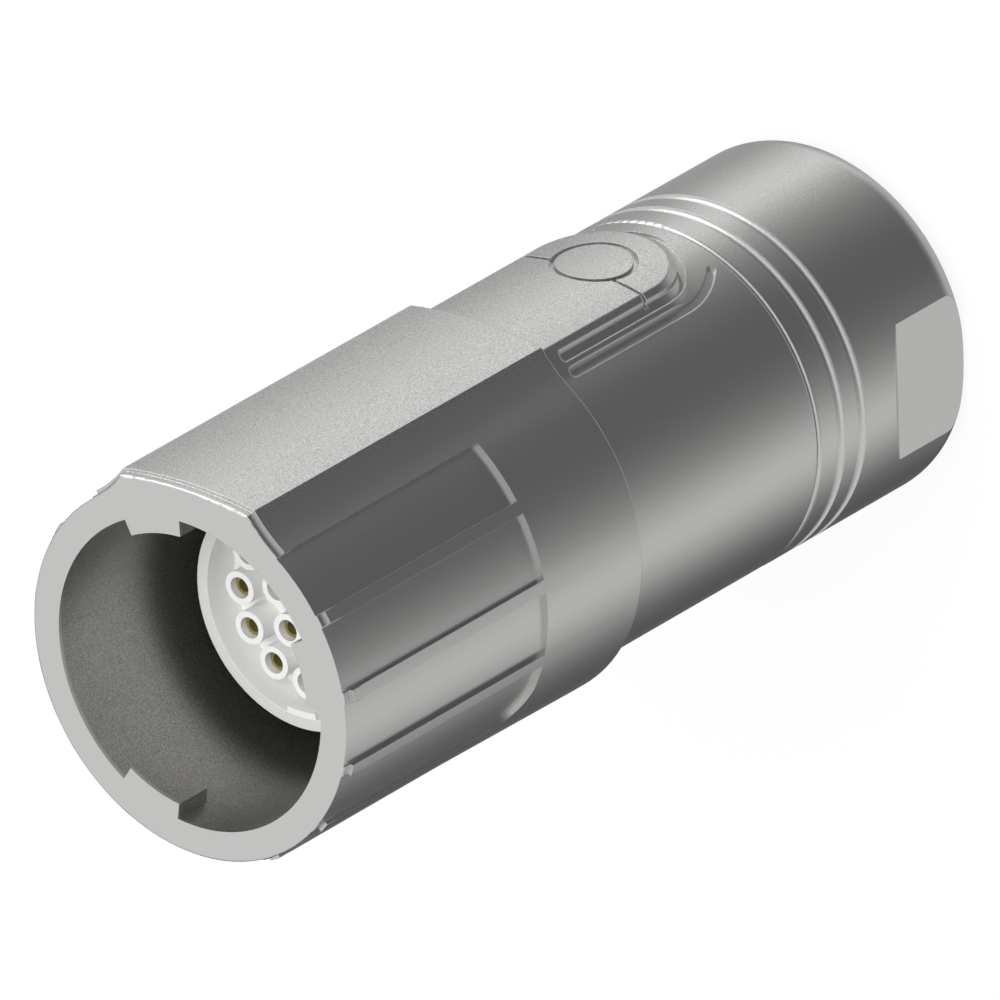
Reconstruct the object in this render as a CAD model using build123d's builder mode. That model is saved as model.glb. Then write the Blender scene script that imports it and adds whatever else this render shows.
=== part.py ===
"""Round cable plug with a quick-lock coupling sleeve, a 17-way socket insert and a cable gland.

The plug stands on its gland nut. Z runs along its axis, up to the mating face, the origin is the
centre of the cable end, and the index pad faces -Y. Lengths are in millimetres. Angles are in
degrees about Z, counted from the index pad, counter-clockwise as seen on the mating face.
Across the axis the plug is dimensioned from the insert outwards: each radius adds a named wall,
step or clearance to the one inside it.
"""

from build123d import *
import os
from math import cos, hypot, radians, sin, sqrt, tan

INDEX = -90

# Fits
RUNNING = 0.05
SEAT = 0.05
LOOSE = 0.15

# Lengths along the axis, from the cable end up
NUT_LENGTH = 17.97
BARREL_LENGTH = 20.7
SLEEVE_LENGTH = 32.3
NECK_LENGTH = 12.9
SPIGOT_LENGTH = 9.2
FACE_GAP = 0.1

# Insert
INSERT_R = 8.8
INSERT_DEPTH = 11.6
FLANGE_STEP = 0.6
FLANGE_THICKNESS = 1.9
SHOULDER_DEPTH = 7.3
RIM_WALL = 0.88
DISH_DEPTH = 3.0
TUBE_R = 1.25
TUBE_DROP = 0.9
HOLE_R = 0.8
OUTER_CIRCLE_R = 5.75
OUTER_STEPS = 12
INNER_CIRCLE_R = 2.58
INNER_COUNT = 5
KEY_CENTRE = 181.5
KEY_WIDTH = 19.0
KEY_STEP = 0.45
REAR_INSULATOR_LENGTH = 6.9
CLAMP_RING_LENGTH = 2.4
CLAMP_RING_WALL = 1.75

# Contacts
CONTACT_RECESS = 0.55
CONTACT_CLEARANCE = 0.07
CONTACT_BORE_R = 0.5
CONTACT_BORE_DEPTH = 6.0
COLLAR_R = 1.1
COLLAR_LENGTH = 1.4
TAIL_R = 0.9
TAIL_LENGTH = 4.0
CUP_R = 0.6
CUP_DEPTH = 3.5

# Housing and coupling sleeve, from the neck outwards
NECK_WALL = 2.1
MOUTH_RELIEF = 0.75
SLEEVE_WALL = 2.55
SLEEVE_STEP = 0.93
LUG_HEIGHT = 1.2
LUG_LENGTH = 3.1
LUG_WIDTH = 25.0
LUG_ANGLES = (14.6, -74.1, 159.9)
LIP_STEP = 0.25
LIP_LENGTH = 0.7
FRONT_ROUND = 0.2
REAR_ROUND = 0.15
PAD_RISE = 0.25
PAD_DROP = 0.25
PAD_HALF_WIDTH = 5.82
PAD_FOOT_ANGLE = 35.5

# Grip panels of the sleeve
GRIP_DEPTH = 0.34
GRIP_LENGTH = 21.8
GRIP_START = 36.1
GRIP_PITCH = 23.7
GRIP_RIB = 3.8
GRIPS_A_SIDE = 4
GRIP_CORNER_R = 3.2
RUNOUT_LENGTH = 31.0

# Index tongue of the housing, with its mark and the traces beside it
TONGUE_RISE = 0.58
TONGUE_CROWN_R = 24.0
TONGUE_HALF_WIDTH = 5.29
TONGUE_SLOPE = 40.0
TONGUE_ROOT = 2.2
TONGUE_ROUND = 0.25
TONGUE_FOOT_ROUND = 2.5
TONGUE_OVERRUN = 4.0
ROUND_FROM_SLEEVE = 13.2
MARK_FROM_SLEEVE = 12.9
MARK_R = 3.15
MARK_GROOVE_WIDTH = 0.37
MARK_GROOVE_DEPTH = 0.3
CROSS_OFFSET = 1.3
CROSS_WIDTH = 0.3
CROSS_OVERHANG = 0.5
TRACE_WIDTH = 0.6
TRACE_DEPTH = 0.25
TRACE_START = 2.0
INNER_TRACE_GAP = 0.63
TRACE_PITCH = 0.88
TRACE_BEND = 1.4
TRACE_RUN = 6.1
TRACE_TURN = 1.5

# Gland nut
NUT_PROUD = 0.02
NUT_WALL = 1.89
NUT_FLOOR = 5.0
CABLE_HOLE_R = 6.5
HOLE_CHAMFER = 0.4
NUT_ROUND = 2.4
SEAM_ROUND = 0.3
FLAT_DEPTH = 1.08
FLAT_LENGTH = 7.8
FLAT_RUNOUT = 1.5
RING_GROOVES = (2.55, 4.9)
RING_GROOVE_R = 0.45
RING_GROOVE_DEPTH = 0.35

# Rings and seals
RING_SECTION = 1.0
SNAP_RING_PROUD = 0.45
SNAP_RING_DEPTH = 1.7
SNAP_GROOVE_DEPTH = 0.75
SNAP_RING_SPLIT = 2.4
SLEEVE_SEAL_SECTION = 1.1
FACE_SEAL_SECTION = 1.4
NUT_SEAL_SECTION = 1.04
WASHER_POCKET_WIDTH = 1.3
WASHER_POCKET_DEPTH = 1.6
WASHER_SHEET = 0.4

# Cable clamp, inside the spigot and the gland nut
SPIGOT_WALL = 1.5
WASHER_THICKNESS = 1.15
CAGE_BASE = 1.75
CAGE_WALL = 1.4
CAGE_HOLE_STEP = 0.3
FINGER_LENGTH = 9.5
FINGER_COUNT = 8
FINGER_SLOT = 1.2
SEAL_BORE_R = 5.0
SEAL_LENGTH = 10.2
SEAL_RIB_PITCH = 2.0
SEAL_RIB_R = 0.6
SHIELD_FLANGE = 1.25
SHIELD_HUB_LENGTH = 5.9
SHIELD_HUB_WALL = 0.8

# Levels that follow
SEAM_Z = NUT_LENGTH
SHOULDER_Z = SEAM_Z + BARREL_LENGTH
SLEEVE_Z = SHOULDER_Z + FACE_GAP
MATING_Z = SLEEVE_Z + SLEEVE_LENGTH
NECK_Z = SHOULDER_Z + NECK_LENGTH
SPIGOT_Z = SEAM_Z - SPIGOT_LENGTH
ROUND_Z = SLEEVE_Z - ROUND_FROM_SLEEVE
MARK_Z = SLEEVE_Z - MARK_FROM_SLEEVE
RIM_Z = MATING_Z - INSERT_DEPTH
TUBE_Z = RIM_Z - TUBE_DROP
DISH_Z = RIM_Z - DISH_DEPTH
INSERT_SHOULDER_Z = NECK_Z - SHOULDER_DEPTH
CARRIER_Z = INSERT_SHOULDER_Z - SEAT - FLANGE_THICKNESS
INSULATOR_Z = CARRIER_Z - SEAT - REAR_INSULATOR_LENGTH
CLAMP_RING_Z = INSULATOR_Z - SEAT - CLAMP_RING_LENGTH
SNAP_RING_Z = NECK_Z - SNAP_RING_DEPTH
WASHER_Z = NUT_FLOOR + SEAT
CAGE_Z = WASHER_Z + WASHER_THICKNESS + SEAT
SEAL_Z = CAGE_Z + CAGE_BASE + SEAT
SHIELD_Z = SEAL_Z + SEAL_LENGTH + LOOSE
SHIELD_SEAT_Z = SHIELD_Z + SHIELD_FLANGE + SEAT

# Radii that follow
INSERT_FLANGE_R = INSERT_R + FLANGE_STEP
INSERT_BORE_R = INSERT_R + RUNNING
CARRIER_BORE_R = INSERT_FLANGE_R + RUNNING
NECK_R = INSERT_BORE_R + NECK_WALL
SLEEVE_BORE_R = NECK_R + RUNNING
MOUTH_R = NECK_R + MOUTH_RELIEF
LUG_R = MOUTH_R - LUG_HEIGHT
SLEEVE_R = MOUTH_R + SLEEVE_WALL
PAD_CROWN = SLEEVE_R + PAD_RISE
PAD_SHOULDER = SLEEVE_R - PAD_DROP
BARREL_R = SLEEVE_R - SLEEVE_STEP
TONGUE_CROWN = BARREL_R + TONGUE_RISE
NUT_R = BARREL_R + NUT_PROUD
THREAD_BORE_R = NUT_R - NUT_WALL
SPIGOT_R = THREAD_BORE_R - RUNNING
SPIGOT_BORE_R = SPIGOT_R - SPIGOT_WALL
CAGE_R = SPIGOT_BORE_R - LOOSE
CAGE_HOLE_R = CABLE_HOLE_R + CAGE_HOLE_STEP
INNER_TRACE_R = TONGUE_HALF_WIDTH + INNER_TRACE_GAP
OUTER_TRACE_X = INNER_TRACE_R + TRACE_PITCH


def radial_plane(angle):
    """Plane through Z whose x direction points at an angle counted from the index pad."""
    return Plane.XZ.rotated((0, 0, INDEX + angle))


def direction(angle, radius):
    """Point at an angle counted from the index pad."""
    return (radius * cos(radians(INDEX + angle)), radius * sin(radians(INDEX + angle)))


def write(part, name):
    part.label = name
    export_step(part, f"parts/{name}.step")


os.makedirs("parts", exist_ok=True)

# Coupling sleeve: a tube with a raised index pad, grip panels and three locking lugs in its mouth
foot_right = direction(PAD_FOOT_ANGLE, SLEEVE_R)
foot_left = direction(-PAD_FOOT_ANGLE, SLEEVE_R)
corner_right = (PAD_HALF_WIDTH, -PAD_SHOULDER)
corner_left = (-PAD_HALF_WIDTH, -PAD_SHOULDER)
slope_right = direction(PAD_FOOT_ANGLE - 90, 1)
slope_left = direction(90 - PAD_FOOT_ANGLE, 1)

with BuildSketch() as sleeve_outline:
    Circle(SLEEVE_R)
    with BuildLine():
        ThreePointArc(corner_left, (0, -PAD_CROWN), corner_right)
        TangentArc(foot_right, corner_right, tangent=slope_right)
        TangentArc(foot_left, corner_left, tangent=slope_left)
        Line(foot_left, foot_right)
    make_face()

grip_angles = [GRIP_START + GRIP_PITCH * i for i in range(GRIPS_A_SIDE)]
grip_width = GRIP_PITCH - GRIP_RIB
grip_floor_r = SLEEVE_R - GRIP_DEPTH
grip_outside_r = SLEEVE_R + 2
runout_angle = GRIP_START + GRIP_PITCH * GRIPS_A_SIDE
bottom_angle = runout_angle + GRIP_PITCH

with BuildPart() as grip_cutters:
    for start in grip_angles:
        with BuildSketch(radial_plane(start)):
            with Locations((grip_floor_r, MATING_Z - GRIP_LENGTH)):
                Rectangle(grip_outside_r - grip_floor_r, GRIP_LENGTH, align=Align.MIN)
        revolve(axis=Axis.Z, revolution_arc=grip_width)
    last_end = grip_angles[-1] + grip_width
    corner_point = (*direction(last_end, SLEEVE_R), MATING_Z - GRIP_LENGTH)
    fillet(grip_cutters.edges().sort_by_distance(corner_point)[0], GRIP_CORNER_R)
    for start, width in ((runout_angle, grip_width), (bottom_angle, 180 - bottom_angle)):
        with BuildSketch(radial_plane(start)):
            Polygon(
                (grip_floor_r, MATING_Z),
                (grip_outside_r, MATING_Z),
                (grip_outside_r, MATING_Z - RUNOUT_LENGTH),
                (SLEEVE_R, MATING_Z - RUNOUT_LENGTH),
                align=None,
            )
        revolve(axis=Axis.Z, revolution_arc=width)
    mirror(about=Plane.YZ)

land_top_z = SNAP_RING_Z - SEAT
washer_pocket_r = NECK_R + WASHER_POCKET_WIDTH

with BuildPart() as coupling_sleeve:
    with BuildSketch(Plane.XY.offset(SLEEVE_Z)):
        add(sleeve_outline.sketch)
    extrude(amount=SLEEVE_LENGTH - LIP_LENGTH)
    fillet(coupling_sleeve.faces().sort_by(Axis.Z)[0].edges(), REAR_ROUND)
    with BuildSketch(Plane.XY.offset(MATING_Z - LIP_LENGTH)):
        offset(sleeve_outline.sketch, amount=-LIP_STEP, kind=Kind.INTERSECTION)
    extrude(amount=LIP_LENGTH)
    fillet(coupling_sleeve.faces().sort_by(Axis.Z)[-1].edges(), FRONT_ROUND)
    add(grip_cutters.part, mode=Mode.SUBTRACT)
    with BuildSketch(Plane.XZ):
        Polygon(
            (0, SLEEVE_Z),
            (washer_pocket_r, SLEEVE_Z),
            (washer_pocket_r, SLEEVE_Z + WASHER_POCKET_DEPTH),
            (SLEEVE_BORE_R, SLEEVE_Z + WASHER_POCKET_DEPTH),
            (SLEEVE_BORE_R, land_top_z),
            (MOUTH_R, land_top_z),
            (MOUTH_R, MATING_Z),
            (0, MATING_Z),
            align=None,
        )
    revolve(axis=Axis.Z, mode=Mode.SUBTRACT)
    for angle in LUG_ANGLES:
        with BuildSketch(radial_plane(angle - LUG_WIDTH / 2)):
            with Locations((LUG_R, MATING_Z - LUG_LENGTH)):
                Rectangle(MOUTH_R + 0.3 - LUG_R, LUG_LENGTH, align=Align.MIN)
        revolve(axis=Axis.Z, revolution_arc=LUG_WIDTH)
write(coupling_sleeve.part, "coupling_sleeve")

# Housing: barrel with the index tongue, neck for the sleeve, spigot for the gland nut
crown_centre_y = TONGUE_CROWN_R - TONGUE_CROWN
tongue_base = BARREL_R - TONGUE_ROOT
tongue_edge = sqrt(TONGUE_CROWN_R**2 - TONGUE_HALF_WIDTH**2) - crown_centre_y
tongue_base_half = TONGUE_HALF_WIDTH + (tongue_edge - tongue_base) * tan(radians(TONGUE_SLOPE))


def tongue_block(inset):
    """The tongue with its crown and its sloping sides moved inwards by an inset."""
    half_width = tongue_base_half - inset / cos(radians(TONGUE_SLOPE))
    top_z = SHOULDER_Z + TONGUE_OVERRUN
    with BuildPart() as block:
        with BuildSketch(Plane.XZ.offset(tongue_base)):
            with Locations((0, ROUND_Z)):
                Circle(half_width)
            with Locations((0, (ROUND_Z + top_z) / 2)):
                Rectangle(2 * half_width, top_z - ROUND_Z)
        extrude(amount=TONGUE_CROWN - tongue_base + TONGUE_ROUND, taper=TONGUE_SLOPE)
        with BuildSketch(Plane.XY.offset(SEAM_Z)):
            with Locations((0, crown_centre_y)):
                Circle(TONGUE_CROWN_R - inset)
        extrude(amount=BARREL_LENGTH, mode=Mode.INTERSECT)
    return block


tongue = tongue_block(0)
with tongue:
    crown_edges = tongue.faces().sort_by(Axis.Y)[0].edges().sort_by(Axis.Z)
    fillet(crown_edges[:-1], TONGUE_ROUND)

with BuildPart() as mark_cutter:
    with BuildSketch(Plane.XZ.offset(tongue_base)):
        with Locations((0, MARK_Z)):
            Circle(MARK_R)
        with Locations((0, MARK_Z + CROSS_OFFSET)):
            Rectangle(2 * (TONGUE_HALF_WIDTH + CROSS_OVERHANG), CROSS_WIDTH)
        with Locations((0, MARK_Z)):
            Circle(MARK_R - MARK_GROOVE_WIDTH, mode=Mode.SUBTRACT)
    extrude(amount=TONGUE_CROWN)
    add(tongue_block(MARK_GROOVE_DEPTH).part, mode=Mode.SUBTRACT)

with BuildPart() as trace_cutter:
    with BuildSketch(Plane.XZ):
        with BuildLine(mode=Mode.PRIVATE) as inner_trace:
            Line((INNER_TRACE_R, SHOULDER_Z - TRACE_START), (INNER_TRACE_R, ROUND_Z))
            RadiusArc((INNER_TRACE_R, ROUND_Z), (-INNER_TRACE_R, ROUND_Z), INNER_TRACE_R)
            Line((-INNER_TRACE_R, ROUND_Z), (-INNER_TRACE_R, SHOULDER_Z - TRACE_START))
        SlotArc(inner_trace.wires()[0], TRACE_WIDTH)
        for side in (1, -1):
            with BuildLine(mode=Mode.PRIVATE) as outer_trace:
                top = (side * OUTER_TRACE_X, SHOULDER_Z - TRACE_START)
                bend = (side * OUTER_TRACE_X, ROUND_Z - TRACE_BEND)
                tip = (side * (OUTER_TRACE_X - TRACE_TURN), ROUND_Z - TRACE_RUN)
                Line(top, bend)
                TangentArc(bend, tip, tangent=(0, -1))
            SlotArc(outer_trace.wires()[0], TRACE_WIDTH)
    extrude(amount=BARREL_R + 1)
    Cylinder(BARREL_R - TRACE_DEPTH, MATING_Z, align=(Align.CENTER, Align.CENTER, Align.MIN), mode=Mode.SUBTRACT)
    add(tongue_block(TRACE_DEPTH).part, mode=Mode.SUBTRACT)


def at_tongue_foot(edge):
    """Whether an edge runs where the tongue's sloping sides meet the barrel."""
    middle = edge @ 0.5
    on_barrel = abs(hypot(middle.X, middle.Y) - BARREL_R) < 0.01
    in_reach = SEAM_Z + SEAM_ROUND < middle.Z < SHOULDER_Z - TRACE_START
    return on_barrel and in_reach and middle.Y < -TONGUE_HALF_WIDTH


sleeve_seal_z = (INSERT_SHOULDER_Z + SNAP_RING_Z) / 2
seal_groove_depth = SLEEVE_SEAL_SECTION + 0.05

with BuildPart() as housing:
    with BuildSketch(Plane.XZ):
        Polygon(
            (0, SPIGOT_Z),
            (SPIGOT_R, SPIGOT_Z),
            (SPIGOT_R, SEAM_Z),
            (BARREL_R, SEAM_Z),
            (BARREL_R, SHOULDER_Z),
            (NECK_R, SHOULDER_Z),
            (NECK_R, NECK_Z),
            (0, NECK_Z),
            align=None,
        )
    revolve(axis=Axis.Z)
    seam_edges = housing.edges().filter_by(GeomType.CIRCLE).filter_by_position(Axis.Z, SEAM_Z, SEAM_Z)
    fillet(seam_edges.sort_by(SortBy.RADIUS)[-1], SEAM_ROUND)
    add(tongue.part)
    fillet([edge for edge in housing.edges() if at_tongue_foot(edge)], TONGUE_FOOT_ROUND)
    add(mark_cutter.part, mode=Mode.SUBTRACT)
    add(trace_cutter.part, mode=Mode.SUBTRACT)
    with BuildSketch(Plane.XZ):
        Polygon(
            (0, SPIGOT_Z),
            (SPIGOT_BORE_R, SPIGOT_Z),
            (SPIGOT_BORE_R, SHIELD_SEAT_Z),
            (CARRIER_BORE_R, SHIELD_SEAT_Z),
            (CARRIER_BORE_R, INSERT_SHOULDER_Z),
            (INSERT_BORE_R, INSERT_SHOULDER_Z),
            (INSERT_BORE_R, NECK_Z),
            (0, NECK_Z),
            align=None,
        )
        with Locations((NECK_R - SNAP_GROOVE_DEPTH, SNAP_RING_Z - SEAT)):
            Rectangle(2, RING_SECTION + 2 * SEAT, align=Align.MIN)
        with Locations((NECK_R - seal_groove_depth, sleeve_seal_z)):
            Rectangle(2, SLEEVE_SEAL_SECTION + 0.3, align=(Align.MIN, Align.CENTER))
    revolve(axis=Axis.Z, mode=Mode.SUBTRACT)
    chamfer(housing.edges().filter_by(GeomType.CIRCLE).group_by(Axis.Z)[0].sort_by(SortBy.RADIUS)[-1], 0.5)
write(housing.part, "housing")

# Insert: the carrier that shows at the mating face, the insulator behind it and their clamp ring
hole_angles = [360 / OUTER_STEPS * i for i in range(1, OUTER_STEPS)]
inner_angles = [360 / INNER_COUNT * i for i in range(INNER_COUNT)]
hole_points = [direction(angle, OUTER_CIRCLE_R) for angle in hole_angles]
hole_points += [direction(angle, INNER_CIRCLE_R) for angle in inner_angles]
hole_points.append((0, 0))
dish_r = INSERT_R - RIM_WALL
collar_z = CARRIER_Z - SEAT - COLLAR_LENGTH

with BuildPart() as contact_carrier:
    with BuildSketch(Plane.XZ):
        Polygon(
            (0, CARRIER_Z),
            (INSERT_FLANGE_R, CARRIER_Z),
            (INSERT_FLANGE_R, CARRIER_Z + FLANGE_THICKNESS),
            (INSERT_R, CARRIER_Z + FLANGE_THICKNESS),
            (INSERT_R, RIM_Z),
            (dish_r, RIM_Z),
            (dish_r, DISH_Z),
            (0, DISH_Z),
            align=None,
        )
    revolve(axis=Axis.Z)
    with BuildSketch(radial_plane(KEY_CENTRE - KEY_WIDTH / 2)):
        with Locations((dish_r - KEY_STEP, DISH_Z)):
            Rectangle(INSERT_R - dish_r, RIM_Z - DISH_Z, align=Align.MIN)
    revolve(axis=Axis.Z, revolution_arc=KEY_WIDTH)
    with BuildSketch(Plane.XY.offset(DISH_Z)):
        with Locations(*hole_points):
            Circle(TUBE_R)
    extrude(amount=TUBE_Z - DISH_Z)
    with BuildSketch(Plane.XY.offset(CARRIER_Z)):
        with Locations(*hole_points):
            Circle(HOLE_R)
    extrude(amount=TUBE_Z - CARRIER_Z, mode=Mode.SUBTRACT)
write(contact_carrier.part, "contact_carrier")

with BuildPart() as rear_insulator:
    with BuildSketch(Plane.XY.offset(INSULATOR_Z)):
        Circle(INSERT_FLANGE_R)
        with Locations(*hole_points):
            Circle(TAIL_R + CONTACT_CLEARANCE, mode=Mode.SUBTRACT)
    extrude(amount=REAR_INSULATOR_LENGTH)
    with BuildSketch(Plane.XY.offset(collar_z - SEAT)):
        with Locations(*hole_points):
            Circle(COLLAR_R + CONTACT_CLEARANCE)
    extrude(amount=COLLAR_LENGTH + 2 * SEAT, mode=Mode.SUBTRACT)
write(rear_insulator.part, "rear_insulator")

with BuildPart() as insert_clamp_ring:
    with BuildSketch(Plane.XY.offset(CLAMP_RING_Z)):
        Circle(INSERT_FLANGE_R)
        Circle(INSERT_FLANGE_R - CLAMP_RING_WALL, mode=Mode.SUBTRACT)
    extrude(amount=CLAMP_RING_LENGTH)
    with BuildSketch(Plane.XY.offset(CLAMP_RING_Z)):
        Rectangle(3 * INSERT_FLANGE_R, CLAMP_RING_WALL)
    extrude(amount=CLAMP_RING_LENGTH / 2, mode=Mode.SUBTRACT)
write(insert_clamp_ring.part, "insert_clamp_ring")

# Socket contacts: bored front barrel, collar held between the insulators, crimp cup at the back
contact_top_z = TUBE_Z - CONTACT_RECESS
contact_tail_z = INSULATOR_Z - TAIL_LENGTH
barrel_r = HOLE_R - CONTACT_CLEARANCE

for number, (x, y) in enumerate(hole_points, 1):
    with BuildPart() as contact:
        with BuildSketch(Plane(origin=(x, y, 0), x_dir=(1, 0, 0), z_dir=(0, -1, 0))):
            Polygon(
                (0, contact_tail_z + CUP_DEPTH),
                (CUP_R, contact_tail_z + CUP_DEPTH),
                (CUP_R, contact_tail_z),
                (TAIL_R, contact_tail_z),
                (TAIL_R, collar_z),
                (COLLAR_R, collar_z),
                (COLLAR_R, collar_z + COLLAR_LENGTH),
                (barrel_r, collar_z + COLLAR_LENGTH),
                (barrel_r, contact_top_z),
                (CONTACT_BORE_R, contact_top_z),
                (CONTACT_BORE_R, contact_top_z - CONTACT_BORE_DEPTH),
                (0, contact_top_z - CONTACT_BORE_DEPTH),
                align=None,
            )
        revolve(axis=Axis((x, y, 0), (0, 0, 1)))
    write(contact.part, f"contact_{number:02d}")

# Rings and seals on the housing
snap_ring_r = NECK_R + SNAP_RING_PROUD

with BuildPart() as snap_ring:
    with BuildSketch(Plane.XY.offset(SNAP_RING_Z)):
        Circle(snap_ring_r)
        Circle(NECK_R - SNAP_GROOVE_DEPTH + SEAT, mode=Mode.SUBTRACT)
        with Locations((0, snap_ring_r)):
            Rectangle(SNAP_RING_SPLIT, snap_ring_r, mode=Mode.SUBTRACT)
    extrude(amount=RING_SECTION)
write(snap_ring.part, "snap_ring")

with BuildPart() as preload_washer:
    with BuildSketch(Plane.XZ):
        Polygon(
            (NECK_R + LOOSE, SLEEVE_Z + WASHER_POCKET_DEPTH - WASHER_SHEET - SEAT),
            (NECK_R + LOOSE, SLEEVE_Z + WASHER_POCKET_DEPTH - SEAT),
            (washer_pocket_r - LOOSE, SHOULDER_Z + SEAT + WASHER_SHEET),
            (washer_pocket_r - LOOSE, SHOULDER_Z + SEAT),
            align=None,
        )
    revolve(axis=Axis.Z)
write(preload_washer.part, "preload_washer")

seal_rings = (
    ("sleeve_seal", NECK_R - SLEEVE_SEAL_SECTION / 2, sleeve_seal_z, SLEEVE_SEAL_SECTION),
    ("face_seal", (INSERT_BORE_R + NECK_R) / 2, NECK_Z + SEAT + FACE_SEAL_SECTION / 2, FACE_SEAL_SECTION),
    ("nut_seal", SPIGOT_R + SEAT + NUT_SEAL_SECTION / 2, SEAM_Z - SEAT - NUT_SEAL_SECTION / 2, NUT_SEAL_SECTION),
)
for name, radius, level, section in seal_rings:
    with BuildPart() as seal:
        with BuildSketch(Plane.XZ):
            with Locations((radius, level)):
                Circle(section / 2)
        revolve(axis=Axis.Z)
    write(seal.part, name)

# Gland nut: closed over the cable clamp, with two turned grooves and a pair of spanner flats
seal_pocket_r = SPIGOT_R + NUT_SEAL_SECTION + 0.1
seal_pocket_z = SEAM_Z - NUT_SEAL_SECTION - 0.15

with BuildPart() as gland_nut:
    with BuildSketch(Plane.XZ):
        Polygon(
            (CABLE_HOLE_R, 0),
            (NUT_R, 0),
            (NUT_R, SEAM_Z - SEAT),
            (seal_pocket_r, SEAM_Z - SEAT),
            (seal_pocket_r, seal_pocket_z),
            (THREAD_BORE_R, seal_pocket_z),
            (THREAD_BORE_R, NUT_FLOOR),
            (CABLE_HOLE_R, NUT_FLOOR),
            align=None,
        )
    revolve(axis=Axis.Z)
    rear_edges = gland_nut.edges().filter_by(GeomType.CIRCLE).group_by(Axis.Z)[0].sort_by(SortBy.RADIUS)
    fillet(rear_edges[-1], NUT_ROUND)
    chamfer(rear_edges[0], HOLE_CHAMFER)
    front_edges = gland_nut.edges().filter_by(GeomType.CIRCLE).group_by(Axis.Z)[-1]
    fillet(front_edges.sort_by(SortBy.RADIUS)[-1], SEAM_ROUND)
    with BuildSketch(Plane.XZ):
        for groove in RING_GROOVES:
            with Locations((NUT_R - RING_GROOVE_DEPTH + RING_GROOVE_R, SEAM_Z - groove)):
                Circle(RING_GROOVE_R)
    revolve(axis=Axis.Z, mode=Mode.SUBTRACT)
    with BuildSketch(Plane.XZ):
        Polygon(
            (NUT_R - FLAT_DEPTH, 0),
            (NUT_R, 0),
            (NUT_R, FLAT_LENGTH + FLAT_RUNOUT),
            (NUT_R - FLAT_DEPTH, FLAT_LENGTH),
            align=None,
        )
        mirror(about=Plane.YZ)
    extrude(amount=NUT_R, both=True, mode=Mode.SUBTRACT)
write(gland_nut.part, "gland_nut")

# Cable clamp: washer, slotted cage, rubber grommet and shield ring, all pressed up by the gland nut
seal_r = CAGE_R - CAGE_WALL - LOOSE
finger_top_z = CAGE_Z + CAGE_BASE + FINGER_LENGTH

with BuildPart() as thrust_washer:
    with BuildSketch(Plane.XY.offset(WASHER_Z)):
        Circle(THREAD_BORE_R - 0.8)
        Circle(CAGE_HOLE_R, mode=Mode.SUBTRACT)
    extrude(amount=WASHER_THICKNESS)
write(thrust_washer.part, "thrust_washer")

with BuildPart() as clamp_cage:
    with BuildSketch(Plane.XY.offset(CAGE_Z)):
        Circle(CAGE_R)
        Circle(CAGE_HOLE_R, mode=Mode.SUBTRACT)
    extrude(amount=CAGE_BASE)
    with BuildSketch(Plane.XY.offset(CAGE_Z + CAGE_BASE)):
        Circle(CAGE_R)
        Circle(CAGE_R - CAGE_WALL, mode=Mode.SUBTRACT)
        with PolarLocations(0, FINGER_COUNT // 2, angular_range=180):
            Rectangle(3 * CAGE_R, FINGER_SLOT, mode=Mode.SUBTRACT)
    extrude(amount=FINGER_LENGTH)
write(clamp_cage.part, "clamp_cage")

rib_levels = [SEAL_Z + SEAL_RIB_PITCH * i for i in range(1, int(SEAL_LENGTH / SEAL_RIB_PITCH))]

with BuildPart() as cable_seal:
    with BuildSketch(Plane.XZ):
        with Locations((SEAL_BORE_R, SEAL_Z)):
            Rectangle(seal_r - SEAL_BORE_R, SEAL_LENGTH, align=Align.MIN)
        for level in rib_levels:
            with Locations((SEAL_BORE_R, level)):
                Circle(SEAL_RIB_R, mode=Mode.SUBTRACT)
    revolve(axis=Axis.Z)
    chamfer(cable_seal.edges().filter_by(GeomType.CIRCLE).sort_by(SortBy.RADIUS)[-2:], 0.8)
write(cable_seal.part, "cable_seal")

hub_z = SHIELD_Z + SHIELD_FLANGE
with BuildPart() as shield_ring:
    with BuildSketch(Plane.XY.offset(SHIELD_Z)):
        Circle(CAGE_R)
        Circle(CAGE_HOLE_R, mode=Mode.SUBTRACT)
    extrude(amount=SHIELD_FLANGE)
    with BuildSketch(Plane.XY.offset(hub_z)):
        Circle(CAGE_HOLE_R + SHIELD_HUB_WALL)
        Circle(CAGE_HOLE_R, mode=Mode.SUBTRACT)
        with PolarLocations(0, FINGER_COUNT // 2, angular_range=180):
            Rectangle(3 * CAGE_R, FINGER_SLOT, mode=Mode.SUBTRACT)
    extrude(amount=SHIELD_HUB_LENGTH)
write(shield_ring.part, "shield_ring")
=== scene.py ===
# %% [markdown]
# # A round cable plug in satin nickel
#
# The plug is a size 23 circular signal connector: a die-cast housing, a quick-lock sleeve that
# turns on its neck, a turned gland nut at the cable end and a light plastic insert with seventeen
# sockets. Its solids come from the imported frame, in metres, with the plug standing on its nut and
# Z along its axis. This lesson gives them their finishes, then sets up the stage, the studio
# reflections, the light and the camera.

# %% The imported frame
import math

import bmesh
import bpy
from mathutils import Matrix, Vector

MM = 0.001

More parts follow.
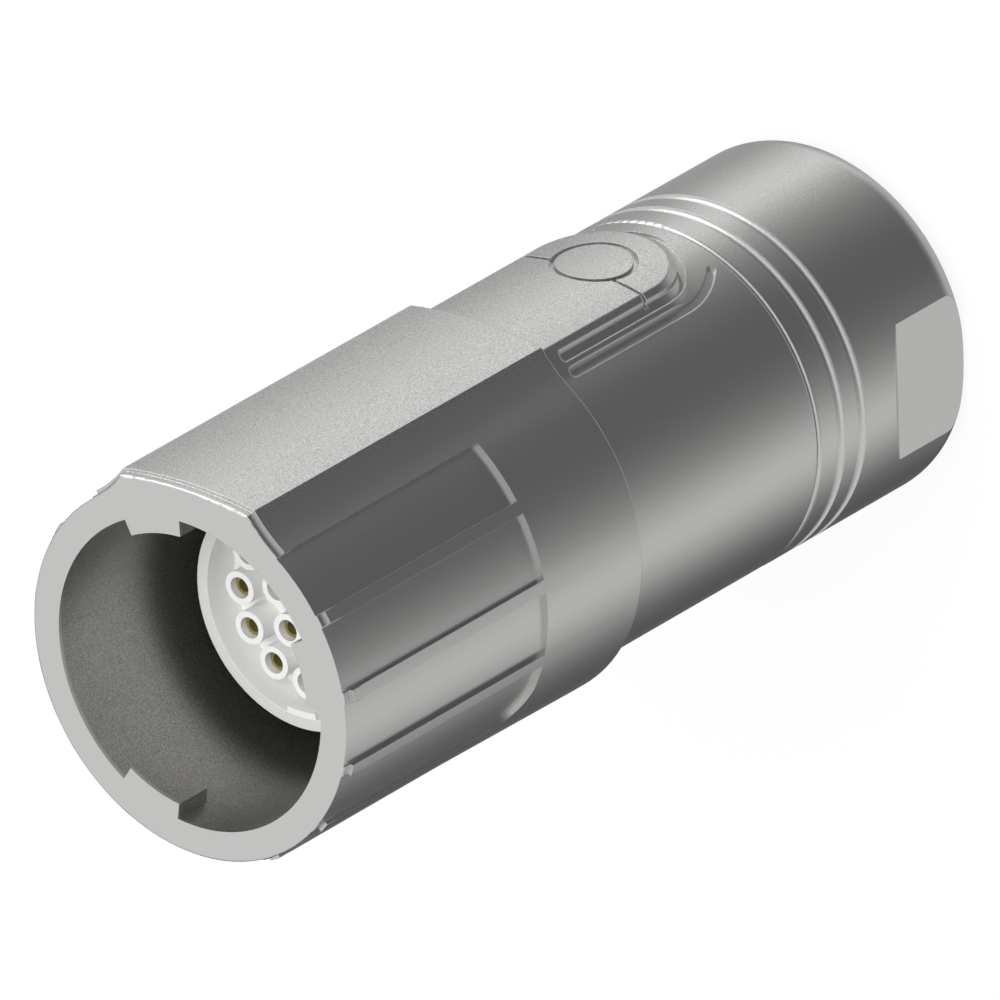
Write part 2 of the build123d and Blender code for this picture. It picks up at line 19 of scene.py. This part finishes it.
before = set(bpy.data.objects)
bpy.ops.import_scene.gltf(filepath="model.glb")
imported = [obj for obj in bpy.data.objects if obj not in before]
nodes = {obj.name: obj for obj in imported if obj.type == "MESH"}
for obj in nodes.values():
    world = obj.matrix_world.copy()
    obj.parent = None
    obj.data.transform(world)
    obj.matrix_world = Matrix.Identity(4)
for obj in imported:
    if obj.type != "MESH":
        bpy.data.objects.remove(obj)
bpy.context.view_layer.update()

# %% [markdown]
# ## Finishes
#
# The shell is nickel over a blasted casting: it reflects broadly, with a fine grain that sparkles
# where light falls on it. That takes a metallic surface of medium roughness and one fine noise,
# which moves both the bump and the brightness of the metal a little. A rounded edge of a few
# hundredths of a millimetre softens the creases. The noise reads Object coordinates, so it stays
# with the piece. The plastics, the rubber and the brass are made the same way, each with a grain
# of its own.
#
# Three helpers come first. Two add a step of arithmetic on numbers or on vectors to a material,
# and one turns a span of values smoothly into another.

# %% Helpers for arithmetic in a material
def math_node(tree, operation, first, second):
    node = tree.nodes.new("ShaderNodeMath")
    node.operation = operation
    for socket, value in zip(node.inputs, (first, second)):
        if isinstance(value, (int, float)):
            socket.default_value = value
        else:
            tree.links.new(value, socket)
    return node.outputs[0]


def vector_node(tree, operation, first, second=None):
    node = tree.nodes.new("ShaderNodeVectorMath")
    node.operation = operation
    tree.links.new(first, node.inputs[0])
    if second is not None:
        node.inputs[1].default_value = second
    return node


def map_range(tree, value, span, result):
    node = tree.nodes.new("ShaderNodeMapRange")
    node.interpolation_type = "SMOOTHSTEP"
    for name, number in zip(("From Min", "From Max", "To Min", "To Max"), span + result):
        node.inputs[name].default_value = number
    tree.links.new(value, node.inputs["Value"])
    return node.outputs[0]


print("helpers: numbers, vectors, spans")

# %% [markdown]
# Every finish has the same plan. The noise drives a bump, whose normal is first rounded at the
# edges, and it moves the colour's brightness up and down by the speckle. The nodes that a later
# step changes for one place of a piece get a name: "speckle", "color" and "edge".

# %% The bump of the grain, with rounded edges
GRAIN_DEPTH = 0.05 * MM
EDGE_SAMPLES = 8


def add_bump(tree, noise, grain, edge):
    bump = tree.nodes.new("ShaderNodeBump")
    bump.inputs["Strength"].default_value = grain
    bump.inputs["Distance"].default_value = GRAIN_DEPTH
    tree.links.new(noise.outputs["Fac"], bump.inputs["Height"])
    if edge:
        rounded = tree.nodes.new("ShaderNodeBevel")
        rounded.name = "edge"
        rounded.samples = EDGE_SAMPLES
        rounded.inputs["Radius"].default_value = edge
        tree.links.new(rounded.outputs["Normal"], bump.inputs["Normal"])
    tree.links.new(bump.outputs["Normal"], tree.nodes["Principled BSDF"].inputs["Normal"])


print("grain depth:", GRAIN_DEPTH)

# %% A helper that builds every finish
NOISE_DETAIL = 1
NOISE_SPAN = (0.3, 0.7)


def finish(name, color, metallic, roughness, speckle, grain, scale, edge):
    material = bpy.data.materials.new(name)
    material.use_nodes = True
    tree = material.node_tree
    shader = tree.nodes["Principled BSDF"]
    shader.inputs["Metallic"].default_value = metallic
    shader.inputs["Roughness"].default_value = roughness
    coordinates = tree.nodes.new("ShaderNodeTexCoord")
    noise = tree.nodes.new("ShaderNodeTexNoise")
    noise.inputs["Scale"].default_value = scale
    noise.inputs["Detail"].default_value = NOISE_DETAIL
    tree.links.new(coordinates.outputs["Object"], noise.inputs["Vector"])
    wobble = map_range(tree, noise.outputs["Fac"], NOISE_SPAN, (-1, 1))
    amount = math_node(tree, "MULTIPLY", wobble, speckle)
    amount.node.name = "speckle"
    scaled = tree.nodes.new("ShaderNodeVectorMath")
    scaled.name = "color"
    scaled.operation = "SCALE"
    scaled.inputs[0].default_value = color
    tree.links.new(math_node(tree, "ADD", amount, 1.0), scaled.inputs["Scale"])
    tree.links.new(scaled.outputs[0], shader.inputs["Base Color"])
    add_bump(tree, noise, grain, edge)
    return material


print("noise span:", NOISE_SPAN)

# %% [markdown]
# The table gives each finish its colour, metallic, roughness, speckle, strength and scale of the
# grain, and the radius of its rounded edges. The three nickel finishes differ only in their edges
# here, and further on in where their grain and painted sparkle show.

# %% The plain finishes
NO_EDGE = 0.0
FINE_EDGE = 0.02 * MM
CAST_EDGE = 0.05 * MM
SATIN_NICKEL = ((0.62, 0.62, 0.61), 1.0, 0.34, 0.10, 0.20, 8500)
FINISHES = {
    "sleeve_nickel": (*SATIN_NICKEL, FINE_EDGE),
    "housing_nickel": (*SATIN_NICKEL, CAST_EDGE),
    "nut_nickel": (*SATIN_NICKEL, CAST_EDGE),
    "insert_plastic": ((0.88, 0.88, 0.87), 0.0, 0.45, 0.01, 0.10, 3000, CAST_EDGE),
    "insulator_plastic": ((0.78, 0.77, 0.72), 0.0, 0.50, 0.03, 0.15, 3000, NO_EDGE),
    "contact_brass": ((0.26, 0.215, 0.07), 0.3, 0.55, 0.12, 0.20, 9000, NO_EDGE),
    "black_rubber": ((0.03, 0.03, 0.032), 0.0, 0.60, 0.15, 0.50, 4000, NO_EDGE),
    "spring_steel": ((0.5, 0.5, 0.5), 1.0, 0.30, 0.08, 0.20, 5000, NO_EDGE),
    "cage_plastic": ((0.09, 0.09, 0.09), 0.0, 0.45, 0.08, 0.30, 3000, NO_EDGE),
}

finishes = {name: finish(name, *values) for name, values in FINISHES.items()}
print("finishes:", ", ".join(finishes))

# %% [markdown]
# The speckle depends on the place. It is strong where the surface lies far out on the index side,
# which is -Y, and it ends just behind the front face. There it stands for the blasted grain of the
# index pad and of the tongue behind it. It also stands for the sparkle of light where the highlight
# falls on them, and that part is a painted glint. The round sides get little speckle, and the front
# face is turned. The table gives the two places in Y between which it fades, and its strength at
# each.

# %% Where the grain and the painted sparkle show
FACE_Z = 71.07 * MM
FACE_SKIN = 0.2 * MM
# Painted sparkle: besides the grain, the strong speckle here stands for glints where the highlight
# falls.
INDEX_GRAIN_AND_SPARKLE = {
    "sleeve_nickel": (-13.8 * MM, -13.2 * MM, 0.19, 0.02),
    "housing_nickel": (-13.4 * MM, -12.6 * MM, 0.19, 0.02),
    "nut_nickel": (-13.2 * MM, -11.0 * MM, 0.10, 0.015),
}


def object_axis(tree, axis):
    coordinates = tree.nodes.new("ShaderNodeTexCoord")
    split = tree.nodes.new("ShaderNodeSeparateXYZ")
    tree.links.new(coordinates.outputs["Object"], split.inputs[0])
    return split.outputs[axis]


def behind_face(tree):
    skin = (FACE_Z - 2 * FACE_SKIN, FACE_Z - FACE_SKIN)
    return map_range(tree, object_axis(tree, "Z"), skin, (1, 0))


def grain_and_painted_sparkle(material, outer, inner, strong, weak):
    tree = material.node_tree
    amount = map_range(tree, object_axis(tree, "Y"), (outer, inner), (strong, weak))
    shown = math_node(tree, "MULTIPLY", amount, behind_face(tree))
    tree.links.new(shown, tree.nodes["speckle"].inputs[1])
    return shown


shown = {name: grain_and_painted_sparkle(finishes[name], *INDEX_GRAIN_AND_SPARKLE[name]) for name in INDEX_GRAIN_AND_SPARKLE}
print("grain by place:", ", ".join(shown))

# %% [markdown]
# The mouth of the sleeve is bored, not blasted, and the bore is duller than the outside. Its colour
# is also scaled darker and a little brown, which is painted shade for the deep mouth. Its surface
# is found by place too: nearer the axis than the mouth's wall, and behind the front face. A
# material that is led by place needs no second slot on the mesh.

# %% Where the bore is
MOUTH_R = 12.15 * MM


def object_radius(tree):
    coordinates = tree.nodes.new("ShaderNodeTexCoord")
    flat = vector_node(tree, "MULTIPLY", coordinates.outputs["Object"], (1, 1, 0))
    return vector_node(tree, "LENGTH", flat.outputs["Vector"]).outputs["Value"]


def inside_mouth(tree):
    within = map_range(tree, object_radius(tree), (MOUTH_R - FACE_SKIN, MOUTH_R), (1, 0))
    return math_node(tree, "MULTIPLY", within, behind_face(tree))


print("mouth radius:", MOUTH_R)

# %% The duller bore of the sleeve, with painted shade
# Painted shade: the bore's colour is scaled by this tint.
BORE_PAINTED_SHADE = (0.76, 0.75, 0.73)
BORE_ROUGHNESS = 0.42
BORE_SPECKLE = 0.24
SATIN_ROUGHNESS = SATIN_NICKEL[2]
A_VECTOR, B_VECTOR, VECTOR_RESULT = 4, 5, 1  # the Mix node's sockets for vectors


def dull_bore_with_painted_shade(material, speckle):
    tree = material.node_tree
    shader = tree.nodes["Principled BSDF"]
    bore = inside_mouth(tree)
    metal = tree.nodes["color"].outputs[0]
    painted_shade = vector_node(tree, "MULTIPLY", metal, BORE_PAINTED_SHADE)
    color = tree.nodes.new("ShaderNodeMix")
    color.data_type = "VECTOR"
    tree.links.new(bore, color.inputs["Factor"])
    tree.links.new(metal, color.inputs[A_VECTOR])
    tree.links.new(painted_shade.outputs["Vector"], color.inputs[B_VECTOR])
    tree.links.new(color.outputs[VECTOR_RESULT], shader.inputs["Base Color"])
    dulled = map_range(tree, bore, (0, 1), (SATIN_ROUGHNESS, BORE_ROUGHNESS))
    tree.links.new(dulled, shader.inputs["Roughness"])
    grain = math_node(tree, "MULTIPLY", bore, BORE_SPECKLE)
    stronger = math_node(tree, "MAXIMUM", speckle, grain)
    tree.links.new(stronger, tree.nodes["speckle"].inputs[1])


dull_bore_with_painted_shade(finishes["sleeve_nickel"], shown["sleeve_nickel"])
print("bore roughness:", BORE_ROUGHNESS)

# %% [markdown]
# The insert's rim stands round the floor and the socket tubes. It carries painted shade for the
# shade that the mouth casts on it: the same plastic is scaled darker outside the rim's inner
# radius.

# %% Painted shade on the insert's rim
RIM_R = 7.92 * MM
RIM_BLEND = 0.05 * MM
# Painted shade: the rim's colour is scaled by this.
RIM_SHADE = 0.79


def paint_rim_shade(material):
    tree = material.node_tree
    shade = map_range(tree, object_radius(tree), (RIM_R, RIM_R + RIM_BLEND), (1, RIM_SHADE))
    shaded = vector_node(tree, "SCALE", tree.nodes["color"].outputs[0])
    tree.links.new(shade, shaded.inputs["Scale"])
    tree.links.new(shaded.outputs["Vector"], tree.nodes["Principled BSDF"].inputs["Base Color"])


paint_rim_shade(finishes["insert_plastic"])
print("rim shade:", RIM_SHADE)

# %% [markdown]
# Two places have softer edges than the rest: the stepped lip behind the front face, and the traces
# beside the tongue, which are cast as shallow troughs. There the rounded edge is wider. The lip is
# near the face and far from the axis, and the traces are away from the middle plane on either side.

# %% Where the edges are softer
LIP_Z = (FACE_Z - 1.8 * MM, FACE_Z - 1.6 * MM)
LIP_R = (13.3 * MM, 13.5 * MM)
LIP_EDGE = 0.12 * MM
TRACE_X = (5.2 * MM, 5.6 * MM)
TRACE_EDGE = 0.18 * MM


def soften(tree, place, span, sharp, soft):
    tree.links.new(map_range(tree, place, span, (sharp, soft)), tree.nodes["edge"].inputs["Radius"])


tree = finishes["sleeve_nickel"].node_tree
near_face = map_range(tree, object_axis(tree, "Z"), LIP_Z, (0, 1))
far_out = map_range(tree, object_radius(tree), LIP_R, (0, 1))
soften(tree, math_node(tree, "MULTIPLY", near_face, far_out), (0, 1), FINE_EDGE, LIP_EDGE)

tree = finishes["housing_nickel"].node_tree
sideways = math_node(tree, "ABSOLUTE", object_axis(tree, "X"), 0.0)
soften(tree, sideways, TRACE_X, CAST_EDGE, TRACE_EDGE)
print("softer edges:", LIP_EDGE, TRACE_EDGE)

# %% [markdown]
# ## Dressing the solids
#
# The castings and turned faces are smooth, and every real edge is crisp with a tiny radius. The
# solids arrive as fine facets, so each mesh is shaded smooth, and a limit of 30 degrees keeps
# the creases. Meshes and normals stay as they are otherwise.

# %% Shade a solid smooth, with crisp edges
CREASE = math.radians(30)


def shade_smooth(obj):
    build = bmesh.new()
    build.from_mesh(obj.data)
    for face in build.faces:
        face.smooth = True
    for edge in build.edges:
        edge.smooth = len(edge.link_faces) == 2 and edge.calc_face_angle(0) < CREASE
    build.to_mesh(obj.data)
    build.free()


print("faces:", sum(len(obj.data.polygons) for obj in nodes.values()))

# %% Dress every solid
contacts = sorted(name for name in nodes if name.startswith("contact_") and name[-1].isdigit())
WEARERS = {
    "sleeve_nickel": ["coupling_sleeve"],
    "housing_nickel": ["housing", "shield_ring"],
    "nut_nickel": ["gland_nut"],
    "insert_plastic": ["contact_carrier"],
    "insulator_plastic": ["rear_insulator", "insert_clamp_ring"],
    "contact_brass": contacts,
    "black_rubber": ["face_seal", "sleeve_seal", "nut_seal", "cable_seal"],
    "spring_steel": ["snap_ring", "preload_washer"],
    "cage_plastic": ["thrust_washer", "clamp_cage"],
}

for finish_name, wearers in WEARERS.items():
    for name in wearers:
        obj = nodes[name]
        obj.data.materials.clear()
        obj.data.materials.append(finishes[finish_name])
        shade_smooth(obj)
print("dressed:", sum(map(len, WEARERS.values())), "nodes,", len(contacts), "contacts")

# %% [markdown]
# ## The stage
#
# A plain pale floor that the plug stands on. To the camera it is mostly white, as in a product
# picture, and it keeps a little of the plug's soft shadow. Seen from above, the plug's sides
# mirror what lies below them. A white floor there would wash out the studio's bands, so the floor
# is left out of the reflections.
#
# A helper tells the rays that a viewer sees, straight or by way of metal and glass, from those
# that carry light. The floor and the world use it to be white without lighting the plug more.

# %% Which rays are seen
SEEN_RAYS = ("Is Camera Ray", "Is Glossy Ray", "Is Transmission Ray")


def seen_ray(tree):
    path = tree.nodes.new("ShaderNodeLightPath")
    total = path.outputs[SEEN_RAYS[0]]
    for name in SEEN_RAYS[1:]:
        total = math_node(tree, "ADD", total, path.outputs[name])
        total.node.use_clamp = True
    return total


print("seen:", ", ".join(SEEN_RAYS))

# %% The floor's finish
FLOOR_COLOR = (0.93, 0.93, 0.93, 1)
FLOOR_ROUGHNESS = 0.9
FLOOR_WHITE_SHARE = 0.9


def floor_material():
    material = bpy.data.materials.new("floor")
    material.use_nodes = True
    tree = material.node_tree
    shader = tree.nodes["Principled BSDF"]
    shader.inputs["Base Color"].default_value = FLOOR_COLOR
    shader.inputs["Roughness"].default_value = FLOOR_ROUGHNESS
    glow = tree.nodes.new("ShaderNodeEmission")
    mix = tree.nodes.new("ShaderNodeMixShader")
    share = math_node(tree, "MULTIPLY", seen_ray(tree), FLOOR_WHITE_SHARE)
    tree.links.new(share, mix.inputs[0])
    tree.links.new(shader.outputs[0], mix.inputs[1])
    tree.links.new(glow.outputs[0], mix.inputs[2])
    tree.links.new(mix.outputs[0], tree.nodes["Material Output"].inputs[0])
    return material


print("floor color:", FLOOR_COLOR[:3])

# %% The floor
FLOOR_HALF = 2.0
FLOOR_DROP = 0.02 * MM


def stage_object(name, build, material):
    mesh = bpy.data.meshes.new(name)
    build.to_mesh(mesh)
    build.free()
    obj = bpy.data.objects.new(name, mesh)
    obj.data.materials.append(material)
    bpy.context.scene.collection.objects.link(obj)
    return obj


build = bmesh.new()
bmesh.ops.create_grid(build, x_segments=1, y_segments=1, size=FLOOR_HALF)
floor = stage_object("floor", build, floor_material())
floor.location.z = -FLOOR_DROP
floor.visible_glossy = False
print("floor:", floor.dimensions[:2])

# %% [markdown]
# ## Studio reflections
#
# What makes satin metal read as round is what it reflects: broad pale cards with dark gaps between
# them. Here they are painted round one curtain that only reflections see. Level with the plug its
# brightness depends on the direction alone, so a cylinder shows the same bands along its whole
# length. Each band below is an angle about Z, counted from -X, with its level. The brightest is
# the one that the index pad mirrors, and a dark gap on either side of it is for the pad's flanks.

# %% The bands by direction
BANDS = [
    (0, 0.28),
    (20, 0.14),
    (40, 0.105),
    (65, 0.12),
    (85, 0.22),
    (105, 0.42),
    (128, 1.20),
    (150, 0.68),
    (170, 0.35),
    (200, 0.42),
    (225, 0.28),
    (245, 0.06),
    (265, 0.07),
    (285, 0.16),
    (305, 0.52),
    (322, 0.92),
    (340, 0.62),
    (360, 0.28),
]
FULL_TURN = 360


def bands(tree, split):
    turn = math_node(tree, "ARCTAN2", split.outputs["Y"], split.outputs["X"])
    scale = tree.nodes.new("ShaderNodeMapRange")
    scale.inputs["From Min"].default_value = -math.pi
    scale.inputs["From Max"].default_value = math.pi
    tree.links.new(turn, scale.inputs["Value"])
    ramp = tree.nodes.new("ShaderNodeValToRGB")
    ramp.color_ramp.interpolation = "EASE"
    stops = ramp.color_ramp.elements
    while len(stops) < len(BANDS):
        stops.new(0.5)
    for stop, (angle, level) in zip(stops, BANDS):
        stop.position = angle / FULL_TURN
        stop.color = (level, level, level, 1)
    tree.links.new(scale.outputs[0], ramp.inputs[0])
    return ramp.outputs["Color"]


print("bands:", len(BANDS))

# %% [markdown]
# One bright card hangs in front of the index side, a little above the horizon. Edges that run round
# the plug sweep past it, so it draws the light lines along them. Upright walls reflect downwards
# and miss it, so no side is washed out by it.

# %% The card for the light lines
CARD_DIRECTION = (0.56, -0.76, 0.34)
CARD_COSINES = (0.91, 0.98)
CARD_LEVEL = 3.2


def card(tree, coordinates):
    toward_card = Vector(CARD_DIRECTION).normalized()
    direction = vector_node(tree, "NORMALIZE", coordinates)
    cosine = vector_node(tree, "DOT_PRODUCT", direction.outputs["Vector"], toward_card)
    return map_range(tree, cosine.outputs["Value"], CARD_COSINES, (0, CARD_LEVEL))


print("card level:", CARD_LEVEL)

# %% [markdown]
# Above, where the mating face looks, and straight below, where the nut's rounded end looks, the
# curtain is evenly pale. The card counts where it is brighter than what lies behind it. The curtain
# is a sphere of light that nothing but a reflection meets, so it isn't sampled as a lamp.

# %% The curtain's light
SKY_LEVEL = 0.9
SKY_HEIGHTS = (0.5, 1.6)
GROUND_LEVEL = 0.62
GROUND_HEIGHTS = (-2.8, -2.5)


def blend(tree, place, heights, below, above):
    mix = tree.nodes.new("ShaderNodeMix")
    tree.links.new(map_range(tree, place, heights, (0, 1)), mix.inputs["Factor"])
    for socket, value in ((mix.inputs["A"], below), (mix.inputs["B"], above)):
        if isinstance(value, float):
            socket.default_value = value
        else:
            tree.links.new(value, socket)
    return mix.outputs["Result"]


def curtain_material():
    material = bpy.data.materials.new("studio_curtain")
    material.use_nodes = True
    tree = material.node_tree
    tree.nodes.clear()
    coordinates = tree.nodes.new("ShaderNodeTexCoord").outputs["Object"]
    split = tree.nodes.new("ShaderNodeSeparateXYZ")
    tree.links.new(coordinates, split.inputs[0])
    height = split.outputs["Z"]
    level = blend(tree, height, SKY_HEIGHTS, bands(tree, split), SKY_LEVEL)
    level = blend(tree, height, GROUND_HEIGHTS, GROUND_LEVEL, level)
    glow = tree.nodes.new("ShaderNodeEmission")
    brighter = math_node(tree, "MAXIMUM", level, card(tree, coordinates))
    tree.links.new(brighter, glow.inputs["Strength"])
    output = tree.nodes.new("ShaderNodeOutputMaterial")
    tree.links.new(glow.outputs[0], output.inputs[0])
    material.cycles.emission_sampling = "NONE"
    return material


print("sky and ground levels:", SKY_LEVEL, GROUND_LEVEL)

# %% The curtain itself
CURTAIN_R = 3.0
CURTAIN_ROUNDS = 5
CURTAIN_TURN = math.radians(-2.5)

build = bmesh.new()
bmesh.ops.create_icosphere(build, subdivisions=CURTAIN_ROUNDS, radius=CURTAIN_R)
curtain = stage_object("studio_curtain", build, curtain_material())
curtain.rotation_euler.z = CURTAIN_TURN
curtain.visible_camera = False
curtain.visible_diffuse = False
curtain.visible_shadow = False
curtain.visible_transmission = False
print("curtain radius:", CURTAIN_R)

# %% [markdown]
# ## World and lamp
#
# The background is white. The light on the plug is even and plain, so that the plastic insert
# comes out in its own colour, and one soft lamp high above the index side gives it a little shape.
# The lamp is left out of the reflections, where the curtain has its cards.

# %% The world
LIGHT_LEVEL = 0.85
WHITE_LEVEL = 1.0

world = bpy.data.worlds.new("studio")
bpy.context.scene.world = world
world.use_nodes = True
tree = world.node_tree
background = tree.nodes["Background"]
strength = tree.nodes.new("ShaderNodeMapRange")
strength.inputs["To Min"].default_value = LIGHT_LEVEL
strength.inputs["To Max"].default_value = WHITE_LEVEL
tree.links.new(seen_ray(tree), strength.inputs["Value"])
tree.links.new(strength.outputs[0], background.inputs["Strength"])
background.inputs["Color"].default_value = (1, 1, 1, 1)
print("world levels:", LIGHT_LEVEL, WHITE_LEVEL)

# %% One soft lamp
LAMP_SIZE = 0.4
LAMP_ENERGY = 2.5
LAMP_PLACE = Vector((-0.12, -0.24, 0.6))

lamp_data = bpy.data.lights.new("soft_lamp", "AREA")
lamp_data.size = LAMP_SIZE
lamp_data.energy = LAMP_ENERGY
lamp = bpy.data.objects.new("soft_lamp", lamp_data)
bpy.context.scene.collection.objects.link(lamp)
lamp.location = LAMP_PLACE
lamp.rotation_euler = LAMP_PLACE.to_track_quat("Z", "Y").to_euler()
lamp.visible_glossy = False
print("lamp:", tuple(round(v, 2) for v in lamp.location))

# %% [markdown]
# ## The camera
#
# The picture is close to a parallel projection: lines along the plug stay parallel. A very long
# lens three metres away gives that. The view looks at the mating face from the index pad's side,
# and the picture's right runs towards the cable end, so the standing plug lies in the frame. The
# curtain is turned with the camera. The camera aims at the middle of the picture, which lies to
# the right of the face's centre and above it.

# %% Direction, roll and frame of the picture
TURN = Matrix.Rotation(CURTAIN_TURN, 3, "Z")
TOWARD = (TURN @ Vector((-0.555, -0.4646, 0.690))).normalized()
RIGHT = (TURN @ Vector((-0.7791, 0, -0.6269))).normalized()
UP = TOWARD.cross(RIGHT)
ROLL = math.radians(0.22)
FACE_CENTRE = Vector((0, 0, FACE_Z))
FACE_TO_MIDDLE = (21.7 * MM, 12.05 * MM)

right = RIGHT * math.cos(ROLL) + UP * math.sin(ROLL)
up = UP * math.cos(ROLL) - RIGHT * math.sin(ROLL)
target = FACE_CENTRE + right * FACE_TO_MIDDLE[0] + up * FACE_TO_MIDDLE[1]
print("target:", tuple(round(v, 4) for v in target))

# %% The camera and its lens
PICTURE_WIDTH = 69.11 * MM
DISTANCE = 3.0
SENSOR_WIDTH = 36
CLIP = (0.5, 20)

camera_data = bpy.data.cameras.new("camera")
camera_data.sensor_width = SENSOR_WIDTH
camera_data.lens = SENSOR_WIDTH * DISTANCE / PICTURE_WIDTH
camera_data.clip_start, camera_data.clip_end = CLIP
camera = bpy.data.objects.new("camera", camera_data)
bpy.context.scene.collection.objects.link(camera)
place = Matrix((right, up, TOWARD)).transposed().to_4x4()
place.translation = target + TOWARD * DISTANCE
camera.matrix_world = place
bpy.context.scene.camera = camera
print("lens:", round(camera_data.lens), "mm at", DISTANCE, "m")

# %% [markdown]
# ## The end
#
# Colours go to the picture by the plain transform.

# %% The view transform
bpy.context.scene.view_settings.view_transform = "Standard"
